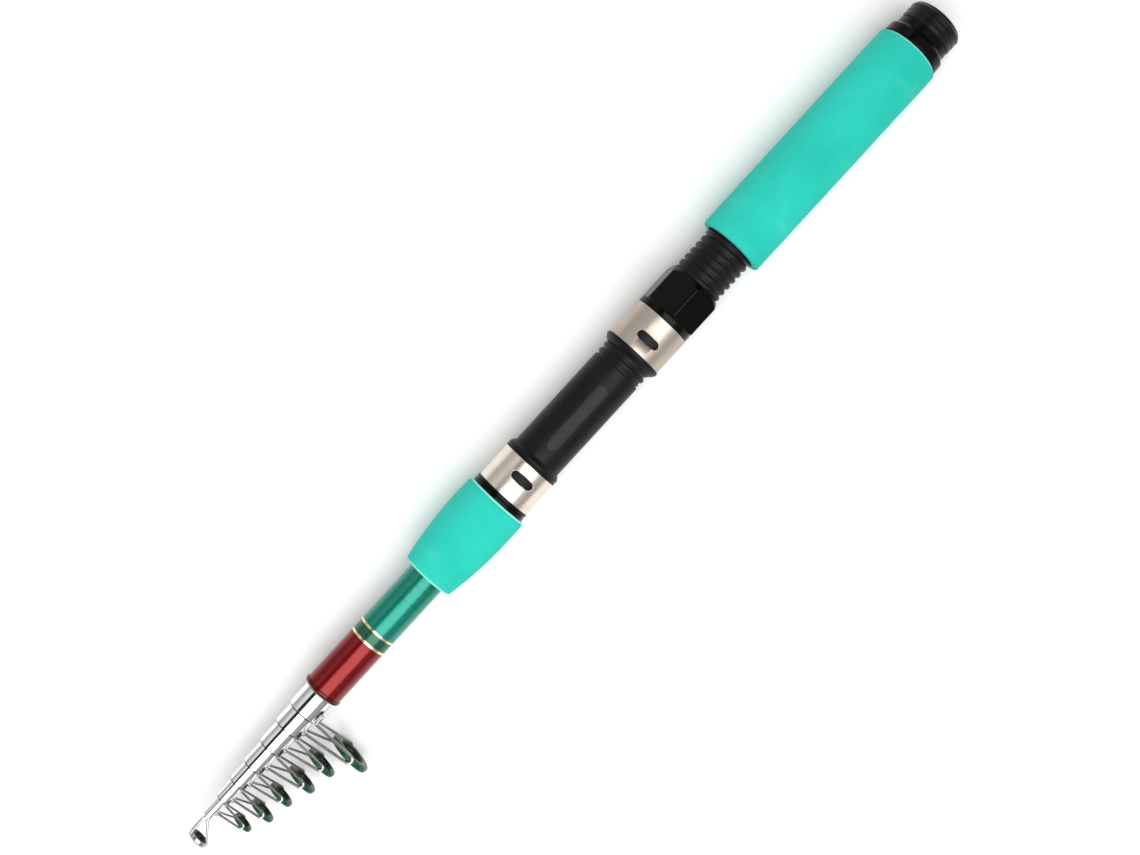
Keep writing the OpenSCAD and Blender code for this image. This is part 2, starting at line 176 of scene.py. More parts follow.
def obround(length, width, inset, steps=12):
    """Outline of a slot with round ends, its long side along the first axis."""
    r = width / 2 - inset
    reach = (length - width) / 2
    half = [(reach + r * math.cos(a), r * math.sin(a))
            for a in (math.pi * (i / steps - 0.5) for i in range(steps + 1))]
    return half + [(-x, -y) for x, y in half]


class Shape:
    """Points and faces of a piece, gathered from closed skins."""

    def __init__(self):
        self.points = []
        self.faces = []

    def skin(self, rings, loop=False):
        """Joins rings by faces. A ring of one point is a pole; the ends close unless the rings loop."""
        starts = []
        for ring in rings:
            starts.append(len(self.points))
            self.points.extend(ring)
        for i in range(len(rings) if loop else len(rings) - 1):
            j = (i + 1) % len(rings)
            self._join(starts[i], len(rings[i]), starts[j], len(rings[j]))
        if not loop:
            for i in (0, len(rings) - 1):
                if len(rings[i]) > 1:
                    self.faces.append(tuple(range(starts[i], starts[i] + len(rings[i]))))
        return self

    def _join(self, a, a_count, b, b_count):
        """Joins two rings, given by their first point and their count, by a band of faces."""
        count = max(a_count, b_count)
        for i in range(count):
            j = (i + 1) % count
            if a_count == 1:
                self.faces.append((a, b + i, b + j))
            elif b_count == 1:
                self.faces.append((a + j, a + i, b))
            else:
                self.faces.append((a + i, a + j, b + j, b + i))


def turned(rows, place=ON_AXIS, segments=SEGMENTS, start=0.0):
    """A turned shape with a bore, from the rows of its closed outline."""
    return Shape().skin(around(rows, place, segments, start), loop=True)


def bead(shape, centre, size, place):
    """Adds an oval bead of solder to a shape."""
    steps = 10
    rows = [(-math.cos(math.pi * i / steps), math.sin(math.pi * i / steps) if 0 < i < steps else 0)
            for i in range(steps + 1)]
    shape.skin(around(rows, place @ Matrix.Translation(centre) @ Matrix.Diagonal((*size, 1)), 20))


def smooth_shading(mesh, crease=38):
    """Smooth faces, with a sharp edge wherever the mesh bends by more than the crease angle."""
    mesh.polygons.foreach_set("use_smooth", [True] * len(mesh.polygons))
    mesh.set_sharp_from_angle(angle=math.radians(crease))


def make_object(name, shape, material=None):
    """Turns a shape into an object of the scene, in metres, with its faces outwards."""
    mesh = bpy.data.meshes.new(name)
    mesh.from_pydata([p * MM for p in shape.points], [], shape.faces)
    solid = bmesh.new()
    solid.from_mesh(mesh)
    bmesh.ops.remove_doubles(solid, verts=solid.verts, dist=1e-7)
    bmesh.ops.recalc_face_normals(solid, faces=solid.faces)
    solid.to_mesh(mesh)
    solid.free()
    smooth_shading(mesh)
    if material:
        mesh.materials.append(material)
    made = bpy.data.objects.new(name, mesh)
    bpy.context.scene.collection.objects.link(made)
    return made


def even_shading(piece):
    """Weights a piece's shading by its faces, so that flats stay flat beside small roundings."""
    piece.modifiers.new("face_weights", "WEIGHTED_NORMAL").keep_sharp = True


def cut(piece, shape):
    """Cuts a closed shape out of a piece."""
    tool = make_object("tool", shape)
    cutter = piece.modifiers.new("cut", "BOOLEAN")
    cutter.operation = "DIFFERENCE"
    cutter.solver = "EXACT"
    cutter.object = tool
    bpy.context.view_layer.update()
    result = piece.evaluated_get(bpy.context.evaluated_depsgraph_get())
    mesh = bpy.data.meshes.new_from_object(result)
    piece.modifiers.clear()
    piece.data = mesh
    smooth_shading(mesh)
    even_shading(piece)
    bpy.data.objects.remove(tool)


def build(name, shape, material, body, slot, *nodes):
    """Makes a piece of the rod: it rides on its body and stands for its CAD nodes."""
    piece = make_object(name, shape, material)
    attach(piece, body)
    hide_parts(*nodes)
    even_shading(piece)
    return piece


# ---------------------------------------------------------------- materials

class Finish:
    """A material with short calls for the nodes that vary it over the surface."""

    def __init__(self, name, colour, **sockets):
        self.material = bpy.data.materials.new(name)
        self.material.use_nodes = True
        self.tree = self.material.node_tree
        self.shader = self.tree.nodes["Principled BSDF"]
        self.shader.inputs["Base Color"].default_value = (*colour, 1)
        for socket, value in sockets.items():
            self.shader.inputs[socket.replace("_", " ")].default_value = value
        self.place = self.add("TexCoord").outputs["Object"]

    def add(self, kind, inputs=None, **settings):
        """Adds a shader node. Each input is a value, or another node's output to link to."""
        made = self.tree.nodes.new("ShaderNode" + kind)
        for setting, value in settings.items():
            setattr(made, setting, value)
        for socket, value in (inputs or {}).items():
            if isinstance(value, bpy.types.NodeSocket):
                self.tree.links.new(value, made.inputs[socket])
            else:
                made.inputs[socket].default_value = value
        return made

    def round_the_rod(self, length, arc):
        """Coordinates for marks about length millimetres long along the rod, and arc round it."""
        parts = self.add("SeparateXYZ", {0: self.place})
        height = self.add("Math", {0: parts.outputs[2], 1: AXIS_Z * MM}, operation="SUBTRACT")
        spoke = self.add("CombineXYZ", {1: parts.outputs[1], 2: height.outputs[0]})
        unit = self.add("VectorMath", {0: spoke.outputs[0]}, operation="NORMALIZE")
        turn = self.add("VectorMath", {0: unit.outputs[0], 3: 10 / arc}, operation="SCALE")
        step = self.add("Math", {0: parts.outputs[0], 1: 1 / (length * MM)}, operation="MULTIPLY")
        move = self.add("CombineXYZ", {0: step.outputs[0]})
        return self.add("VectorMath", {0: turn.outputs[0], 1: move.outputs[0]}).outputs[0]

    def noise(self, size, detail=4.0, vector=None, roughness=0.55):
        """Cloudy noise of the given grain in millimetres; with a vector, in that vector's own units."""
        scale = 1.0 / size if vector else 1.0 / (size * MM)
        return self.add("TexNoise", {"Vector": vector or self.place, "Scale": scale, "Detail": detail,
                                     "Roughness": roughness}).outputs[0]

    def cells(self, size):
        """Rounded cells of the given size in millimetres, for pores."""
        return self.add("TexVoronoi", {"Vector": self.place, "Scale": 1.0 / (size * MM)}).outputs[0]

    def spread(self, value, low, high, start=0.3, stop=0.7):
        """Maps a noise value from start..stop to low..high."""
        return self.add("MapRange", {0: value, 1: start, 2: stop, 3: low, 4: high}).outputs[0]

    def colours(self, value, low, high, start=0.3, stop=0.7):
        """Base colour that runs from low to high as the value goes from start to stop."""
        ramp = self.add("ValToRGB", {0: value})
        for element, place, colour in zip(ramp.color_ramp.elements, (start, stop), (low, high)):
            element.position = place
            element.color = (*colour, 1)
        return ramp.outputs[0]

    def near(self, stations, reach):
        """1 at the given stations along the rod, falling to 0 within reach millimetres of them."""
        x = self.add("SeparateXYZ", {0: self.place}).outputs[0]
        nearest = 1.0
        for station in stations:
            gap = self.add("Math", {0: x, 1: station * MM}, operation="SUBTRACT")
            away = self.add("Math", {0: gap.outputs[0]}, operation="ABSOLUTE")
            nearest = self.add("Math", {0: away.outputs[0], 1: nearest}, operation="MINIMUM").outputs[0]
        return self.spread(nearest, 1.0, 0.0, 0.5 * reach * MM, reach * MM)

    def mix(self, share, a, b):
        """Colour a, changed to colour b by a share. Each is a colour or another node's output."""
        made = self.add("Mix", {0: share}, data_type="RGBA")
        for index, value in ((6, a), (7, b)):
            if isinstance(value, bpy.types.NodeSocket):
                self.tree.links.new(value, made.inputs[index])
            else:
                made.inputs[index].default_value = (*value, 1)
        return made.outputs[2]

    def drive(self, socket, value):
        """Feeds a node's output to a socket of the shader."""
        self.tree.links.new(value, self.shader.inputs[socket])

    def bumps(self, *layers):
        """Adds bump layers of (height socket, depth in millimetres)."""
        normal = None
        for height, depth in layers:
            inputs = {"Height": height, "Distance": depth * MM, "Strength": 1.0}
            if normal:
                inputs["Normal"] = normal
            normal = self.add("Bump", inputs).outputs[0]
        self.drive("Normal", normal)


def foam_finish():
    """Closed-cell foam: matt, a little cloudy, with fine pores and faint rubbed patches. Painted light: the
    side away from the guides is painted paler, and a painted highlight runs along the grips' end edges."""
    low, high = (0.014, 0.46, 0.365), (0.022, 0.55, 0.44)
    finish = Finish("foam", high, Sheen_Weight=0.05, Sheen_Roughness=0.4, Specular_IOR_Level=0.15)
    cloud = finish.noise(26, 3)
    fleck = finish.noise(0.7, 2)
    rubbed = finish.noise(1.0, 3, finish.round_the_rod(9, 12))
    base = finish.colours(cloud, low, high, 0.32, 0.68)
    flecked = finish.mix(finish.spread(fleck, 0.0, 0.16), base, (0.008, 0.38, 0.30))
    worn = finish.mix(finish.spread(rubbed, 0.0, 0.14, 0.58, 0.74), flecked, (0.16, 0.72, 0.60))
    # painted highlight: a pale band along the grips' end edges, where their rounded corners catch light
    edge = finish.near((span("rear_grip")[0] + 0.3, *span("fore_grip")), 0.9)
    across = finish.add("SeparateXYZ", {0: finish.place}).outputs[1]
    # painted light: the side away from the guides is painted paler, as if the room lit it more
    painted_lit_side = finish.mix(finish.spread(across, 0.32, 0.0, -11 * MM, 4 * MM), worn, (0.06, 0.74, 0.63))
    finish.drive("Base Color", finish.mix(edge, painted_lit_side, (0.30, 0.82, 0.73)))
    finish.drive("Roughness", finish.spread(fleck, 0.72, 0.9))
    finish.bumps((finish.cells(0.42), 0.05), (finish.noise(2.5, 4), 0.06))
    return finish.material


def black_finish(name, colour, shine, low, high, grain, depth):
    """Moulded black plastic with a fine grain, handling marks and uneven gloss."""
    finish = Finish(name, colour, Specular_IOR_Level=shine)
    marks = finish.noise(1.0, 5, finish.round_the_rod(0.5, 30))
    haze = finish.noise(7, 4)
    pale = tuple(1.8 * c for c in colour)
    finish.drive("Base Color", finish.mix(finish.spread(haze, 0.0, 0.5), colour, pale))
    uneven = finish.add("Math", {0: finish.spread(haze, low, high), 1: finish.spread(marks, 0, 0.07)})
    finish.drive("Roughness", uneven.outputs[0])
    finish.bumps((finish.noise(grain, 3), depth), (marks, 0.004))
    return finish.material


def badge_finish():
    """Blank inlay: dark grey metal brushed along the rod."""
    finish = Finish("badge", (0.02, 0.022, 0.024), Metallic=0.2, Specular_IOR_Level=0.2)
    brushed = finish.noise(1.0, 4, finish.round_the_rod(14, 0.6))
    finish.drive("Base Color", finish.colours(brushed, (0.012, 0.014, 0.015), (0.021, 0.024, 0.025)))
    finish.drive("Roughness", finish.spread(brushed, 0.38, 0.55))
    finish.bumps((brushed, 0.008))
    return finish.material


def soft_finish(name, dark, pale, pore):
    """Rubber or foam rubber, matt and dusty."""
    finish = Finish(name, dark, Specular_IOR_Level=0.2)
    dust = finish.noise(3, 4)
    finish.drive("Base Color", finish.colours(dust, dark, pale))
    finish.drive("Roughness", finish.spread(dust, 0.7, 0.9))
    finish.bumps((finish.cells(pore), 0.04))
    return finish.material


def lacquer_finish(name, deep, bright, wind=0.0, rim=None):
    """Clear lacquer over flake colour: a soft winding pattern below, slight orange peel on top.
    A narrow band at a rim may be coloured pale cream."""
    finish = Finish(name, bright, Roughness=0.3, Metallic=0.6, Specular_IOR_Level=0.2, Coat_Weight=0.4,
                    Coat_Roughness=0.08, Coat_IOR=1.5)
    tape = finish.noise(1.0, 3, finish.round_the_rod(1.6, 60))
    streak = finish.noise(1.0, 4, finish.round_the_rod(30, 3))
    flake = finish.add("Math", {0: tape, 1: streak}, operation="ADD")
    colour = finish.colours(flake.outputs[0], deep, bright, 0.75, 1.25)
    if rim:
        colour = finish.mix(finish.near([rim], 0.35), colour, (0.62, 0.48, 0.38))
    finish.drive("Base Color", colour)
    layers = [(finish.noise(1.8, 2), 0.012)]
    if wind:
        layers.append((finish.noise(1.0, 1, finish.round_the_rod(wind, 90)), 0.02))
    finish.bumps(*layers)
    return finish.material


def metal_finish(name, colour, low, high, brush, depth, seams=()):
    """Plated or brushed metal with marks that run round the rod and a few fingerprints. It is darker
    in a narrow band at the seams, given as stations."""
    finish = Finish(name, colour, Metallic=1.0)
    lines = finish.noise(1.0, 5, finish.round_the_rod(brush, 25))
    smudge = finish.noise(6, 4)
    gloss = finish.add("Math", {0: finish.spread(smudge, low, high), 1: finish.spread(lines, 0, low / 2)})
    finish.drive("Roughness", gloss.outputs[0])
    worn = tuple(0.82 * c for c in colour)
    tone = finish.mix(finish.spread(smudge, 0.0, 0.5, 0.45, 0.75), colour, worn)
    if seams:
        tone = finish.mix(finish.near(seams, 0.4), tone, (0.09, 0.09, 0.085))
    finish.drive("Base Color", tone)
    finish.bumps((lines, depth))
    return finish.material


def ceramic_finish(name, deep, bright):
    """Glazed ceramic of the line rings and the enamel of their hoops."""
    finish = Finish(name, bright, Specular_IOR_Level=0.15, Coat_Weight=0.12, Coat_Roughness=0.05)
    mottle = finish.noise(1.2, 4)
    finish.drive("Base Color", finish.colours(mottle, deep, bright))
    finish.drive("Roughness", finish.spread(mottle, 0.14, 0.26))
    finish.bumps((finish.noise(0.6, 2), 0.008))
    return finish.material


FOAM = foam_finish()
GLOSS = black_finish("black_gloss", (0.001, 0.001, 0.0008), 0.14, 0.14, 0.22, 0.5, 0.003)
CAP_BLACK = black_finish("cap_black", (0.002, 0.002, 0.0016), 0.26, 0.2, 0.3, 0.5, 0.004)
SATIN = black_finish("black_satin", (0.004, 0.0042, 0.0038), 0.16, 0.34, 0.44, 0.3, 0.01)
BADGE = badge_finish()
RUBBER = soft_finish("rubber", (0.006, 0.006, 0.006), (0.014, 0.014, 0.014), 0.5)
CUSHION = soft_finish("cushion", (0.04, 0.04, 0.04), (0.08, 0.08, 0.08), 0.35)
GREEN = lacquer_finish("green_lacquer", (0.003, 0.16, 0.115), (0.006, 0.22, 0.16))
DARK_GREEN = lacquer_finish("dark_green_lacquer", (0.012, 0.07, 0.042), (0.02, 0.1, 0.06))
RED = lacquer_finish("red_lacquer", (0.14, 0.001, 0.002), (0.2, 0.002, 0.003), 0.3)
DARK_RED = lacquer_finish("dark_red_lacquer", (0.06, 0.001, 0.002), (0.09, 0.002, 0.003),
                          rim=span("mouth_ring")[1])
SECTION = lacquer_finish("section_lacquer", (0.002, 0.09, 0.062), (0.004, 0.13, 0.09))
TIP_SECTION = lacquer_finish("tip_section", (0.45, 0.45, 0.44), (0.55, 0.55, 0.53))
GOLD = metal_finish("gold", (0.86, 0.76, 0.5), 0.16, 0.26, 0.2, 0.002)
STEEL = metal_finish("hood_steel", (0.78, 0.70, 0.615), 0.2, 0.3, 0.06, 0.0012)
HANDLED_STEEL = metal_finish("handled_steel", (0.52, 0.45, 0.385), 0.32, 0.42, 0.06, 0.0012)
CHROME = metal_finish("chrome", (0.82, 0.82, 0.83), 0.04, 0.09, 0.3, 0.0006,
                      seams=[span(f"guide_collar_{k}")[0] for k in range(1, 7)])
WIRE = metal_finish("guide_wire", (0.5, 0.495, 0.48), 0.14, 0.2, 0.3, 0.0006)
RING = ceramic_finish("ring_ceramic", (0.003, 0.007, 0.004), (0.008, 0.022, 0.011))
ENAMEL = ceramic_finish("hoop_enamel", (0.003, 0.036, 0.013), (0.009, 0.095, 0.036))


# ---------------------------------------------------------------- butt

def helix_rows(x0, x1, pitch, radius_at, fade):
    """Rows of a right-handed screw thread; radius_at gives the radius for a ridge height 0..1 and an
    angle, and the ridges fade out over a length at both ends."""
    def row(x):
        def shape(angle):
            phase = ((x - x0) / pitch + angle / TURN) % 1.0
            ridge = ease(phase / 0.3) * ease((0.9 - phase) / 0.3)
            return radius_at(ridge * ease((x - x0) / fade) * ease((x1 - x) / fade), angle)
        return shape
    count = math.ceil((x1 - x0) / (pitch / 14))
    return [(x0 + (x1 - x0) * i / count, row(x0 + (x1 - x0) * i / count)) for i in range(count + 1)]


def butt_cap():
    """Domed screw cap with grip ribs and a hollow threaded stem."""
    x0, stem_x1 = span("butt_cap")
    cap_r = outer_radius("butt_cap")
    front = span("cap_washer")[0] - GLUE
    dome = 2.3
    crown_r = 2.9
    rib_h = 0.32
    rows = [(x0 + 0.25, 0), (x0 + 0.25, crown_r - 0.6), (x0 + 0.05, crown_r - 0.2)]
    rows += [(x0 + dome * (1 - math.cos(a)), crown_r + (cap_r - 0.5 - crown_r) * math.sin(a))
             for a in (math.pi / 2 * i / 12 for i in range(1, 13))]
    ribs = 3
    pitch = (front - x0 - dome) / ribs
    flanks = ((0.1, rib_h, 0.1), (0.28, 0.0, 0.15), (0.68, 0.0, 0.15), (0.86, rib_h, 0.1))
    side = [(x0 + dome + (i + share) * pitch, cap_r - drop, fillet)
            for i in range(ribs) for share, drop, fillet in flanks]
    rows += rounded([(rows[-1][0], rows[-1][1], 0)] + side + [(front - 0.35, cap_r - 0.2, 0.15),
                     (front, cap_r - 0.4, 0.15), (front, 6.2, 0)])
    stem_r = 6.5
    rows += helix_rows(front + 0.6, stem_x1 - 1, 1.5, lambda h, angle: stem_r - 0.3 + 0.3 * h, 1.0)
    rows += [(stem_x1 - 0.3, stem_r - 0.35), (stem_x1, stem_r - 0.7), (stem_x1, 5.1),
             (stem_x1 - 0.2, 4.95), (stem_x1 - 8, 4.95), (stem_x1 - 8, 0)]
    build("butt_cap", Shape().skin(around(rows)), CAP_BLACK, "butt_cap", "black_gloss", "butt_cap")


def cap_cushion():
    """Soft plug in the cap's stem that the sections rest on."""
    x0, x1 = span("cap_cushion")
    r = outer_radius("cap_cushion")
    rows = [(x0, 0)] + rounded([(x0, r, 0.3), (x1 - 0.8, r, 0.4), (x1 - 0.1, r - 0.9, 0.8)]) + [(x1, 0)]
    cushion = build("cap_cushion", Shape().skin(around(rows)), CUSHION, "butt_cap", "cushion",
                    "cap_cushion")


def cap_washer():
    """Rubber washer between the cap and the collar."""
    x0, x1 = span("cap_washer")
    r = outer_radius("cap_washer")
    rows = rounded([(x0, 6.6, 0.1), (x0, r, 0.15), (x1, r, 0.15), (x1, 6.6, 0.1)])
    build("cap_washer", turned(rows), RUBBER, "cap_washer", "rubber", "cap_washer")


def butt_collar():
    """Flanged collar on the blank's end that takes the cap's thread."""
    x0, x1 = span("butt_collar")
    flange_r = outer_radius("butt_collar")
    grip_x = span("rear_grip")[0]
    neck_r = outer_radius("butt_cap")
    bore_r, socket_r = 6.6, 7.12
    blank_r, blank_x = outer_radius("handle_blank") + GLUE, span("handle_blank")[0] - GLUE
    rows = rounded([
        (x0, bore_r, 0.1), (x0, neck_r - 0.1, 0.3), (grip_x - 5.3, neck_r - 0.05, 0.5),
        (grip_x - 4.3, neck_r + 0.45, 0.4), (grip_x - 3.9, flange_r - 0.1, 0.3),
        (grip_x - 0.5, flange_r, 0.3), (grip_x - 0.1, flange_r - 0.4, 0.2), (grip_x - 0.1, blank_r, 0),
        (blank_x, blank_r, 0), (blank_x, socket_r, 0), (x1, socket_r - 0.1, 0.15), (x1, bore_r, 0.1)])
    build("butt_collar", turned(rows), GLOSS, "handle", "black_gloss", "butt_collar")


# ---------------------------------------------------------------- grips and blank

def foam_grip(name, outside, inside):
    """A turned foam grip whose skin is slightly uneven."""
    uneven = 0.07
    lumps = 9.0
    shape = turned(densely(outside, 1.1) + inside)
    bore_r = max(r for _, r in inside) + 0.3
    for i, point in enumerate(shape.points):
        spoke = Vector((0, point.y, point.z - AXIS_Z))
        if spoke.length > bore_r:
            push = uneven * (noise.noise(point / lumps) - 0.35)
            shape.points[i] = point + push * spoke.normalized()
    grip = build(name, shape, FOAM, "handle", "foam", name)


def rear_grip():
    """Long straight grip whose front end takes the seat's barrel."""
    x0, x1 = span("rear_grip")
    r = outer_radius("rear_grip")
    socket_r = outer_radius("seat_barrel") + 0.4
    bore_r = BORE_R + GLUE
    butt_bore_r = outer_radius("handle_blank") + GLUE
    socket_x = span("seat_barrel")[0] - 0.4
    outside = rounded([(x0, 8.5, 0), (x0 + 0.05, r - 1.2, 0.8), (x0 + 1.1, r - 0.05, 1.1),
                       (x1 - 0.1, r, 0.9), (x1, socket_r, 0.4)], steps=8)[1:]
    inside = [(socket_x, socket_r), (socket_x, bore_r), (CONE_X, bore_r), (x0, butt_bore_r)]
    foam_grip("rear_grip", outside, inside)


def fore_grip():
    """Short grip that tapers towards the tip."""
    x0, x1 = span("fore_grip")
    r = outer_radius("fore_grip")
    taper_x, nose_x = x0 + 7.6, x1 - 1.2
    drop = 2.5
    taper = [(taper_x + (nose_x - taper_x) * u, r - drop * u * u, 0) for u in (i / 12 for i in range(13))]
    outside = rounded([(x0, 7.5, 0), (x0, r - 1.0, 0.4), (x0 + 1.6, r - 0.05, 0.9)] + taper
                      + [(x1 - 0.1, r - drop - 0.2, 0.9), (x1, r - drop - 1.5, 0.2)], steps=8)[1:]
    foam_grip("fore_grip", outside, [(x1, BORE_R + GLUE), (x0, BORE_R + GLUE)])


def turned_sleeve(name, material, slot, spans, r_in, r_out, fillet, body="handle"):
    """One or more plain rings or tubes with softened edges."""
    shape = Shape()
    for x0, x1 in spans:
        rows = rounded([(x0, r_in, fillet / 2), (x0, r_out, fillet), (x1, r_out, fillet),
                        (x1, r_in, fillet / 2)])
        shape.skin(around(rows), loop=True)
    return build(name, shape, material, body, slot, name)


def blank_and_wraps():
    """Handle blank, its trim rings, its bands and the ring at its mouth."""
    x0, x1 = span("handle_blank")
    butt_r = outer_radius("handle_blank")
    wrap = span("red_wrap")
    trim = span("trim_rings")
    band = span("dark_band")
    seat_r = BORE_R - 0.18
    bore_r = MOUTH_R + 0.12
    rows = rounded([(x0, 7.3, 0.1), (x0, butt_r, 0.2), (CONE_X, BORE_R, 4), (trim[0], BORE_R, 0),
                    (trim[0], seat_r, 0), (x1, seat_r, 0), (x1, MOUTH_R, 0), (x1 - LAP, bore_r, 0),
                    (CONE_X, bore_r, 0)])
    build("handle_blank", turned(rows), GREEN, "handle", "green_lacquer", "handle_blank")
    rings = ((trim[0], band[0] - 0.02), (band[1] + 0.02, trim[1]))
    turned_sleeve("trim_rings", GOLD, "gold", rings, seat_r + 0.02, BORE_R + 0.04, 0.12)
    turned_sleeve("dark_band", DARK_GREEN, "dark_green_lacquer", [band], seat_r + 0.02, BORE_R, 0.04)
    turned_sleeve("red_wrap", RED, "red_lacquer", [wrap], seat_r + 0.02, BORE_R + GLUE, 0.08)
    m0, m1 = span("mouth_ring")
    lip_r = outer_radius("mouth_ring")
    rows = rounded([(m0, seat_r + 0.02, 0), (m0, lip_r - 0.05, 0.35), (m0 + 0.9, lip_r, 0.4),
                    (m1, lip_r - 0.45, 0.35), (m1, MOUTH_R + GLUE, 0.12), (x1 + 0.02, MOUTH_R + GLUE, 0),
                    (x1 + 0.02, seat_r + 0.02, 0)])
    build("mouth_ring", turned(rows), DARK_RED, "handle", "dark_red_lacquer", "mouth_ring")


# ---------------------------------------------------------------- reel seat

ARCH_HALF = 8.0
ARCH_DEPTH = AXIS_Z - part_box("moving_hood_shell")[0].z / MM
ARCH_CORNER = 2.5
SHELL_T = 0.4
POCKET_HALF = 6.2
SEAT_R = outer_radius("seat_barrel")
THREAD_END = -19.0
PITCH = 2.9


def hood(r, depth):
    """Outline of a hood, moved inwards by depth: a circle that bulges to the foot arch below."""
    half, bottom = ARCH_HALF - depth, ARCH_DEPTH - depth
    corner = max(ARCH_CORNER - depth, 0.3)
    inner_half, inner_bottom = half - corner, bottom - corner

    def shape(angle):
        down, side = -math.cos(angle), abs(math.sin(angle))
        if down <= 0:
            return r - depth
        reach = min(half / max(side, 1e-6), bottom / down)
        if side * reach > inner_half and down * reach > inner_bottom:
            along_ray = inner_half * side + inner_bottom * down
            off_ray = inner_half ** 2 + inner_bottom ** 2 - along_ray ** 2
            reach = along_ray + math.sqrt(max(corner ** 2 - off_ray, 0))
        return smooth_max(r - depth, reach, 0.25)
    return shape


def pocket(r):
    """Bore of a hood with the space for the reel's foot below."""
    def shape(angle):
        down, side = -math.cos(angle), abs(math.sin(angle))
        if down <= 0:
            return r
        return max(r, min(POCKET_HALF / max(side, 1e-6), (ARCH_DEPTH - SHELL_T) / down))
    return shape


def hood_shell(name, material, body, window_x, window_y):
    """Steel shell with rolled ends and a window on the side away from the reel."""
    x0, x1 = span(name)
    r = outer_radius(name)
    thin = SHELL_T
    rows = [(x, hood(r, depth)) for x, depth in rounded(
        [(x0, 0.0, 0.18), (x1, 0.0, 0.18), (x1, thin, 0.08), (x0, thin, 0.08)], steps=4)]
    shell = build(name, turned(rows, segments=288), material, body, "hood_steel", name)
    rings = []
    for lift, grow in ((-4.0, 0.0), (-0.13, 0.0), (0.0, 0.13), (0.5, 0.4), (3.0, 0.4)):
        ring = []
        for across, lengthways in obround(9.4, 3.1, -grow):
            x, y = window_x + lengthways, window_y + across
            ring.append(Vector((x, y, AXIS_Z + math.sqrt(r * r - y * y) + lift)))
        rings.append(ring)
    for ring in (rings[0], rings[-1]):
        level = sum(p.z for p in ring) / len(ring)
        for p in ring:
            p.z = level
    cut(shell, Shape().skin(rings))


def moving_hood():
    """Hood that the nut pushes: a steel shell on a black liner."""
    shell_x0, shell_x1 = span("moving_hood_shell")
    shell_r = outer_radius("moving_hood_shell")
    hood_shell("moving_hood_shell", HANDLED_STEEL, "moving_hood", -34.0, 1.0)
    x0, x1 = span("moving_hood_liner")
    fill = SHELL_T + GLUE
    lip_r = shell_r + 0.4
    bore_r = SEAT_R + RUNNING
    lip_x0 = shell_x1 + 0.02
    lip = rounded([(lip_x0, 0.9, 0), (lip_x0, 0.0, 0.2), (shell_x1 + 1.1, 0.0, 0.35), (x1, 1.5, 0.2)],
                  steps=6)
    rows = [(x0, bore_r + 0.6), (shell_x0, bore_r + 0.6), (shell_x0, hood(shell_r, fill)),
            (lip_x0, hood(shell_r, fill))]
    rows += [(x, hood(lip_r, 0.0) if drop <= 0.0 else hood(lip_r - 0.85 * drop, 0.15 * drop))
             for x, drop in lip[1:]]
    rows += [(x1, pocket(bore_r)), (shell_x0 + 3, pocket(bore_r)), (shell_x0 + 3, bore_r), (x0, bore_r)]
    build("moving_hood_liner", turned(rows, segments=288), SATIN, "moving_hood",
          "black_satin", "moving_hood_liner")


def fixed_hood():
    """Front hood: a steel shell on a black liner with a flared rim."""
    shell_x0 = span("fixed_hood_shell")[0]
    shell_r = outer_radius("fixed_hood_shell")
    hood_shell("fixed_hood_shell", STEEL, "handle", 33.5, 1.8)
    x0, x1 = span("fixed_hood_liner")
    fill = SHELL_T + GLUE
    lip_r = shell_r + 0.1
    bore_r = SEAT_R + GLUE
    lip_x1 = shell_x0 - 0.02
    lip = rounded([(x0, 1.2, 0.2), (x0 + 1.8, 0.0, 0.5), (x0 + 2.5, 0.0, 0.2), (x0 + 2.8, 0.25, 0.15),
                   (x0 + 3.1, 0.0, 0.2), (lip_x1, 0.0, 0.2), (lip_x1, 0.9, 0)], steps=6)[:-1]
    rows = [(x, hood(lip_r - 0.85 * drop, 0.15 * drop)) for x, drop in lip]
    rows += [(lip_x1, hood(shell_r, fill)), (x1, hood(shell_r, fill)), (x1, bore_r),
             (x1 - 3, bore_r), (x1 - 3, pocket(bore_r)), (x0, pocket(bore_r))]
    build("fixed_hood_liner", turned(rows, segments=288), SATIN, "handle",
          "black_satin", "fixed_hood_liner")


def seat_nut():
    """Six-sided nut with a round collar in front."""
    x0, x1 = span("seat_nut")
    corner_r = 12.25
    flat_r = corner_r * math.cos(math.radians(30))
    corner = math.radians(9.5)
    hex_x1 = x1 - 2.5
    collar_r = outer_radius("moving_hood_shell") - 0.1
    bore_r = SEAT_R + RUNNING

    def hexagon(limit):
        def shape(angle):
            swing = (angle - corner) % (TURN / 6) - TURN / 12
            return smooth_min(smooth_min(flat_r / math.cos(swing), corner_r - 0.1, 0.12), limit, 0.12)
        return shape

    outline = rounded([(x0, 10.5, 0.12), (x0 + 2.9, 12.45, 0.2), (hex_x1 - 0.6, 12.45, 0.2),
                       (hex_x1, collar_r, 0)], steps=4)
    outline = densely(outline, 0.25)
    rows = [(x, hexagon(limit)) for x, limit in outline]
    rows += rounded([(hex_x1 + 0.15, collar_r - 0.12, 0), (hex_x1 + 0.35, collar_r, 0.1),
                     (x1, collar_r - 0.05, 0.25), (x1, bore_r + 0.7, 0)])
    rows += [(hex_x1, bore_r + 0.7), (hex_x1, bore_r), (x0 + 0.4, bore_r), (x0, bore_r + 0.3)]
    nut = turned(rows, segments=240, start=math.radians(0.5))
    build("seat_nut", nut, GLOSS, "seat_nut", "black_gloss", "seat_nut")


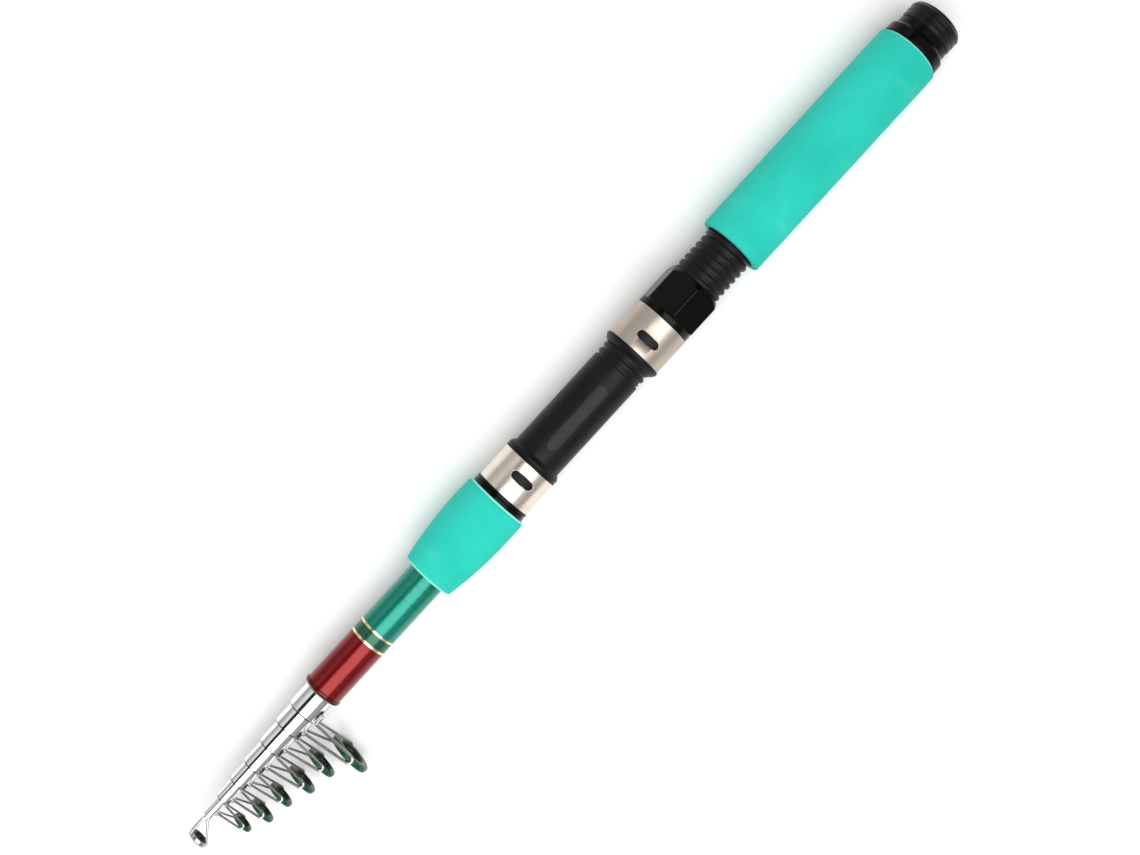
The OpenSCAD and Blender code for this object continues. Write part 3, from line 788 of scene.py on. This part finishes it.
def seat_barrel():
    """Threaded barrel with the reel's bed below and a badge on the side away from it."""
    x0, x1 = span("seat_barrel")
    bed_depth = AXIS_Z
    relief_depth = AXIS_Z - 0.2
    bed_x, relief_x0 = 19.0, -64.0
    thread_depth = 0.75

    def flattened(x, shape):
        depth = bed_depth if abs(x) <= bed_x else relief_depth

        def cut_flat(angle):
            r = shape(angle) if callable(shape) else shape
            down = -math.cos(angle)
            return min(r, depth / down) if down > 0 and x >= relief_x0 else r
        return cut_flat

    root_r = SEAT_R - thread_depth

    def moulded_thread(h, angle):
        """The thread is shallow along the mould's parting at the top and deep at the sides."""
        share = 0.4 + 0.6 * abs(math.sin(angle))
        return SEAT_R - thread_depth * share * (1 - h)

    rows = [(x0, root_r)]
    rows += helix_rows(x0 + 0.3, THREAD_END, PITCH, moulded_thread, 1.5)
    rows += [(THREAD_END + 0.15, SEAT_R - 0.05), (THREAD_END + 0.35, SEAT_R)]
    rows += [(x, SEAT_R) for x in (-15, 0, 15, bed_x - 0.01, bed_x + 0.01, 30, x1)]
    rows = [(x, flattened(x, shape)) for x, shape in rows]
    rows += [(x1, BORE_R + GLUE), (x0, BORE_R + GLUE)]
    barrel = build("seat_barrel", turned(rows, segments=180), SATIN, "handle",
                   "black_satin", "seat_barrel")
    centre = box_centre("seat_badge")
    low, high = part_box("seat_badge")
    length, width = (high.x - low.x) / MM, (high.y - low.y) / MM
    floor = SEAT_R - 0.65

    def badge_ring(inset, lift, flat=False):
        ring = []
        for dx, dy in obround(length, width, inset):
            y = centre.y + dy
            up = lift if flat else math.sqrt((SEAT_R + lift) ** 2 - y * y)
            ring.append(Vector((centre.x + dx, y, AXIS_Z + up)))
        return ring

    cut(barrel, Shape().skin([badge_ring(-0.05, floor, True), badge_ring(-0.05, -0.06),
                              badge_ring(-0.11, 0.0), badge_ring(-0.3, 0.3),
                              badge_ring(-0.3, SEAT_R + 3, True)]))
    rings = [badge_ring(0, floor + 0.01, True), badge_ring(0, -0.1), badge_ring(0.04, -0.04),
             badge_ring(0.12, -0.02)]
    rings += [badge_ring(width / 2 * share, -0.02) for share in (0.25, 0.5, 0.75, 0.999)]
    build("seat_badge", Shape().skin(rings), BADGE, "handle", "badge", "seat_badge")


def seat_end_ring():
    """Double ring that closes the seat."""
    x0, x1 = span("seat_end_ring")
    r = outer_radius("seat_end_ring")
    groove = x0 + 1.45
    rows = rounded([(x0, BORE_R + GLUE, 0), (x0, r - 0.1, 0.25), (groove - 0.35, r, 0.3),
                    (groove - 0.1, r - 0.45, 0.1), (groove + 0.1, r - 0.45, 0.1), (groove + 0.35, r, 0.3),
                    (x1, r - 0.1, 0.35), (x1, BORE_R + GLUE, 0)])
    build("seat_end_ring", turned(rows), GLOSS, "handle", "black_gloss", "seat_end_ring")


# ---------------------------------------------------------------- rod sections

def end_radii(node):
    """Bore and outer radius of a turned CAD node at its rear end, then at its front end."""
    ends = []
    for end in span(node):
        spokes = [math.hypot(v.co.y / MM, v.co.z / MM - AXIS_Z)
                  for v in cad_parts[node].data.vertices if abs(v.co.x / MM - end) < 0.01]
        ends.append((min(spokes), max(spokes)))
    return ends


def rod_section(k):
    """A tapered section with a swollen butt that jams in the section before it."""
    node = f"section_{k}"
    x0, x1 = span(node)
    (butt_bore, butt_r), (mouth_r, tip_r) = end_radii(node)
    parallel = 150.0 if k == 2 else 18.0
    edge = 0.12
    outside = [(x0, butt_r, edge), (x0 + LAP, butt_r - 0.12, 4), (x1 - parallel, tip_r, 8),
               (x1, tip_r, edge)]
    if k == 8:
        rows = rounded([(x0, 0, 0)] + outside + [(x1, 0, 0)])
        shape = Shape().skin(around(rows, segments=64))
        build(node, shape, TIP_SECTION, node, "tip_section", node)
        return
    inside = [(x1, mouth_r, edge), (x1 - LAP, butt_bore, 0), (x0, butt_bore, edge)]
    shape = turned(rounded(outside + inside), segments=96)
    build(node, shape, SECTION, node, "section_lacquer", node)


def collars():
    """The stop ferrule and the collars of the guides, each on the tip of its section."""
    sleeves = [("stop_ferrule", "section_2", "guide_1", 0.35)]
    sleeves += [(f"guide_collar_{k}", f"section_{k + 1}", f"guide_{k}", 0.22) for k in range(1, 7)]
    for node, section, body, fillet in sleeves:
        bore_r = end_radii(section)[1][1] + GLUE
        turned_sleeve(node, CHROME, "chrome", [span(node)], bore_r, outer_radius(node), fillet, body)


# ---------------------------------------------------------------- guides

RING_LEAN = math.radians(5)
HOOP_WALL = 0.9


class RingPlace:
    """Where a line ring lies, and its sizes, measured on its CAD node."""

    def __init__(self, node):
        centre = box_centre(node)
        self.x = centre.x
        self.height = math.hypot(centre.y, centre.z - AXIS_Z)
        droop = math.atan2(AXIS_Z - centre.z, centre.y)
        self.laid = ON_AXIS @ Matrix.Rotation(-droop, 4, "X")
        lean = Matrix.Rotation(-RING_LEAN, 4, "Z")
        self.ring = self.laid @ Matrix.Translation((self.x, self.height, 0)) @ lean
        into_ring = self.ring.inverted()
        seen = [into_ring @ (v.co / MM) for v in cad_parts[node].data.vertices]
        spokes = [math.hypot(p.y, p.z) for p in seen]
        self.outer_r = max(spokes)
        self.hole_r = min(spokes)
        self.half_width = max(abs(p.x) for p in seen)
        self.hoop_r = self.outer_r + 0.02 + HOOP_WALL


def line_ring(name, place, body):
    """Ceramic ring whose inside is rounded for the line, with a fine shoulder on each face."""
    w = place.half_width
    rows = [(w * math.sin(a), place.hole_r + w - w * math.cos(a))
            for a in (math.pi * (i / 12 - 0.5) for i in range(13))]
    shoulder = place.outer_r - 0.35
    rows += rounded([(w, place.hole_r + w + 0.02, 0), (w, shoulder, 0.12), (w - 0.22, place.outer_r, 0.08),
                     (-w + 0.22, place.outer_r, 0.08), (-w, shoulder, 0.12)])[1:]
    build(name, turned(rows, place.ring, 96), RING, body, "ring_ceramic", name)


def hoop_shape(place, half_width):
    """Hoop pressed round a line ring, rounded on its outside."""
    r = place.hoop_r
    rows = rounded([(-half_width, r - HOOP_WALL, 0.08), (-half_width, r - 0.12, 0.3),
                    (-half_width * 0.3, r, 0.6), (half_width * 0.3, r, 0.6), (half_width, r - 0.12, 0.3),
                    (half_width, r - HOOP_WALL, 0.08)])
    return turned(rows, place.ring, 112)


def tangent(foot, centre, r, side):
    """Point where a straight leg from foot touches the circle of a bend, on its rear (1) or front (-1)."""
    span_to = Vector(centre) - Vector(foot)
    heading = math.atan2(span_to.y, span_to.x) + side * math.asin(r / span_to.length)
    reach = math.sqrt(span_to.length ** 2 - r * r)
    return foot[0] + reach * math.cos(heading), foot[1] + reach * math.sin(heading)


def bend(before, corner, after, reach, steps=6):
    """Points of a soft bend at a corner of a wire."""
    corner = Vector(corner)
    start = corner + reach * (Vector(before) - corner).normalized()
    end = corner + reach * (Vector(after) - corner).normalized()
    return [(1 - t) ** 2 * start + 2 * t * (1 - t) * corner + t * t * end
            for t in (i / steps for i in range(steps + 1))]


def hairpin(rear, front, centre, r):
    """Points (x, height) of a hairpin wire's bend, from its rear leg over to its front leg."""
    rear_touch = tangent(rear, centre, r, 1)
    front_touch = tangent(front, centre, r, -1)
    start = math.atan2(rear_touch[1] - centre[1], rear_touch[0] - centre[0]) % TURN
    stop = math.atan2(front_touch[1] - centre[1], front_touch[0] - centre[0])
    return [(centre[0] + r * math.cos(a), centre[1] + r * math.sin(a))
            for a in (start + (stop - start) * i / 14 for i in range(15))]


def add_wire(shape, path, r, ends, place):
    """Adds a round wire to a shape. Its ends are rounded off: ends gives a share of r by point."""
    radii = [r] * len(path)
    for point, share in ends.items():
        radii[point] = r * share
    shape.skin(along(path, radii, place))


def guide_frame(k):
    """Two hairpin wires from the collar to the hoop, soldered at the feet and brazed to the hoop."""
    name = f"guide_frame_{k}"
    body = f"guide_{k}"
    place = RingPlace(f"guide_ring_{k}")
    x0, x1 = span(name)
    wire_r = 0.27 + 0.033 * place.hoop_r
    collar_r = outer_radius(f"guide_collar_{k}")
    side = 0.45 * collar_r
    rear_r = outer_radius("stop_ferrule") if k == 1 else collar_r
    rear_h = math.sqrt(rear_r ** 2 - side ** 2) + 0.85 * wire_r
    front_h = math.sqrt(collar_r ** 2 - side ** 2) + 0.85 * wire_r
    rear = (x0 + (4.1 if k == 1 else 0.8), rear_h)
    front = (x1 - 1.0, front_h)
    bend_r = 0.55 + 0.09 * place.hoop_r
    apex_w = place.hoop_r + 0.6 * wire_r
    centre = (place.x, place.height + wire_r - bend_r)
    rise = place.height - front_h
    near_end, past_end = Vector((0.15, 0, 0)), Vector((0.4, 0, 0))
    rear_half = (rear[0] - x0) / 2
    shape = Shape()
    for s in (-1, 1):
        feet = [Vector((x, h, s * side))
                for x, h in ((x0, rear_h), (rear[0], rear_h), (front[0], front_h), (x1, front_h))]
        arc = []
        for x, h in hairpin(rear, front, centre, bend_r):
            spread = min(max((h - front_h) / rise, 0.0), 1.0)
            arc.append(Vector((x, h, s * (side + (apex_w - side) * spread))))
        path = [feet[0], feet[0] + near_end, feet[0] + past_end]
        path += bend(feet[0], feet[1], arc[0], 0.5) + arc
        path += bend(arc[-1], feet[2], feet[3], 0.5)
        path += [feet[3] - past_end, feet[3] - near_end, feet[3]]
        add_wire(shape, path, wire_r, {0: 0.45, 1: 0.85, -1: 0.45, -2: 0.85}, place.laid)
        solder = ((feet[0] + Vector((rear_half, -0.35 * wire_r, 0)), rear_half + 0.2),
                  (feet[3] + Vector((-0.6, -0.35 * wire_r, 0)), 0.75))
        for foot, length in solder:
            bead(shape, foot, (length, 0.75 * wire_r, 1.45 * wire_r), place.laid)
    build(name, shape, WIRE, body, "chrome", name)
    hoop_half = place.half_width - 0.25
    build(f"guide_hoop_{k}", hoop_shape(place, hoop_half), ENAMEL, body, "ring_ceramic", name)
    line_ring(f"guide_ring_{k}", place, body)


def tip_top():
    """The tube on the last section, and the ring on its three wires."""
    tube_x0, tube_x1 = span("tip_tube")
    tube_r = outer_radius("tip_tube")
    bore_r = end_radii("section_8")[1][1] + GLUE
    turned_sleeve("tip_tube", CHROME, "chrome", [(tube_x0, tube_x1)], bore_r, tube_r, 0.12, "tip_top")
    place = RingPlace("tip_ring")
    wire_r = 0.45
    shape = hoop_shape(place, place.half_width - 0.2)
    root_x = tube_x1 - 0.6
    near = place.height - place.hoop_r + 0.5
    far = place.height + place.hoop_r - 0.2
    legs = [((root_x, -0.7, s * 0.75), (place.x - 0.3, near, s * 1.6)) for s in (-1, 1)]
    legs.append(((root_x, tube_r, 0), (place.x + 0.2, far, 0)))
    for root, end in legs:
        root, end = Vector(root), Vector(end)
        back = root - Vector((0.8, 0.05 * root.y, 0))
        path = [back, back + Vector((0.15, 0, 0))] + bend(back, root, end, 0.5)
        path += [end - 0.15 * (end - root).normalized(), end]
        add_wire(shape, path, wire_r, {0: 0.5, 1: 0.88, -1: 0.6}, place.laid)
        bead(shape, root, (0.8, 1.15 * wire_r, 1.15 * wire_r), place.laid)
        bead(shape, end, (1.2 * wire_r, 1.2 * wire_r, 1.2 * wire_r), place.laid)
    build("tip_frame", shape, WIRE, "tip_top", "chrome", "tip_frame")
    line_ring("tip_ring", place, "tip_top")


butt_cap()
cap_cushion()
cap_washer()
butt_collar()
rear_grip()
fore_grip()
blank_and_wraps()
seat_barrel()
seat_nut()
moving_hood()
fixed_hood()
seat_end_ring()
for section_number in range(2, 9):
    rod_section(section_number)
collars()
for guide_number in range(1, 7):
    guide_frame(guide_number)
tip_top()


# ---------------------------------------------------------------- stage, light and camera

def floor():
    """A plain pale floor that the rod lies on."""
    level = cad_box[0].z
    mesh = bpy.data.meshes.new("floor")
    reach = 6.0
    corners = [(x * reach, y * reach, level) for x, y in ((-1, -1), (1, -1), (1, 1), (-1, 1))]
    mesh.from_pydata(corners, [], [(0, 1, 2, 3)])
    finish = Finish("floor", (0.86, 0.86, 0.855), Roughness=0.75, Specular_IOR_Level=0.2)
    finish.drive("Base Color", finish.colours(finish.noise(90, 2), (0.92, 0.92, 0.915), (0.94, 0.94, 0.935)))
    mesh.materials.append(finish.material)
    ground = bpy.data.objects.new("floor", mesh)
    bpy.context.scene.collection.objects.link(ground)


def softbox(name, tilt, distance, ahead, length, width, power):
    """A long soft light parallel to the rod, tilted from overhead towards the guides' side and moved
    ahead towards the tip."""
    data = bpy.data.lights.new(name, "AREA")
    data.shape = "RECTANGLE"
    data.size = length
    data.size_y = width
    data.energy = power
    lamp = bpy.data.objects.new(name, data)
    lamp.rotation_euler = (-math.radians(tilt), 0, 0)
    lamp.location = lamp.rotation_euler.to_matrix() @ Vector((ahead, 0, distance))
    lamp.visible_camera = False
    bpy.context.scene.collection.objects.link(lamp)


def surroundings():
    """A pale room, brighter on the side away from the guides. It has a short dark gap beside the
    softbox, and it is dark beyond the two ends of the rod."""
    world = bpy.data.worlds.new("room")
    bpy.context.scene.world = world
    world.use_nodes = True
    tree = world.node_tree
    background = tree.nodes["Background"]

    def math_node(operation, a, b=0.0):
        made = tree.nodes.new("ShaderNodeMath")
        made.operation = operation
        tree.links.new(a, made.inputs[0])
        if isinstance(b, bpy.types.NodeSocket):
            tree.links.new(b, made.inputs[1])
        else:
            made.inputs[1].default_value = b
        return made.outputs[0]

    def smooth_step(value, start, stop, low, high):
        made = tree.nodes.new("ShaderNodeMapRange")
        made.interpolation_type = "SMOOTHSTEP"
        tree.links.new(value, made.inputs[0])
        for index, number in enumerate((start, stop, low, high)):
            made.inputs[index + 1].default_value = number
        return made.outputs["Result"]

    direction = tree.nodes.new("ShaderNodeTexCoord")
    parts = tree.nodes.new("ShaderNodeSeparateXYZ")
    tree.links.new(direction.outputs["Generated"], parts.inputs[0])
    lean = math_node("ARCTAN2", parts.outputs[1], parts.outputs[2])
    share = math_node("DIVIDE", lean, math.pi)
    ramp = tree.nodes.new("ShaderNodeValToRGB")
    tree.links.new(math_node("ADD", math_node("MULTIPLY", share, 0.5), 0.5), ramp.inputs[0])
    endwards = math_node("ABSOLUTE", parts.outputs[0])
    beside_gap = smooth_step(endwards, 0.38, 0.48, 0.0, 0.75)
    far_ends = smooth_step(endwards, 0.7, 0.86, 1.0, 0.06)
    light = math_node("MULTIPLY", math_node("MAXIMUM", ramp.outputs[0], beside_gap), far_ends)
    stops = ((-95, 0.35), (-66, 0.55), (-50, 0.85), (-37, 0.85), (-34, 0.02), (-17, 0.02), (-14, 0.42),
             (68, 0.42), (92, 0.24))
    elements = ramp.color_ramp.elements
    while len(elements) < len(stops):
        elements.new(0.5)
    for element, (angle, level) in zip(elements, stops):
        element.position = 0.5 + angle / 360
        element.color = (level, level, level, 1)
    tree.links.new(light, background.inputs["Color"])
    background.inputs["Strength"].default_value = 1.0


def camera():
    """Straight above the rod, which crosses the picture from the top right to the bottom left."""
    height = 0.605
    view_width = 0.4149
    eye_x, eye_y = 0.00787, 0.0016
    data = bpy.data.cameras.new("camera")
    sensor_width = 36.0
    data.sensor_width = sensor_width
    data.lens = sensor_width * height / view_width
    data.clip_start = 0.01
    eye = bpy.data.objects.new("camera", data)
    picture_right = Vector((-0.6763, 0.7366, 0)).normalized()
    picture_up = Vector((0, 0, 1)).cross(picture_right)
    eye.matrix_world = Matrix.Translation((eye_x, eye_y, AXIS_Z * MM + height)) @ Matrix((
        (picture_right.x, picture_up.x, 0, 0), (picture_right.y, picture_up.y, 0, 0),
        (0, 0, 1, 0), (0, 0, 0, 1)))
    bpy.context.scene.collection.objects.link(eye)
    bpy.context.scene.camera = eye


floor()
softbox("key_light", 16.5, 0.9, 0.2, 1.15, 0.92, 10.5)
surroundings()
camera()
bpy.context.scene.view_settings.view_transform = "Standard"
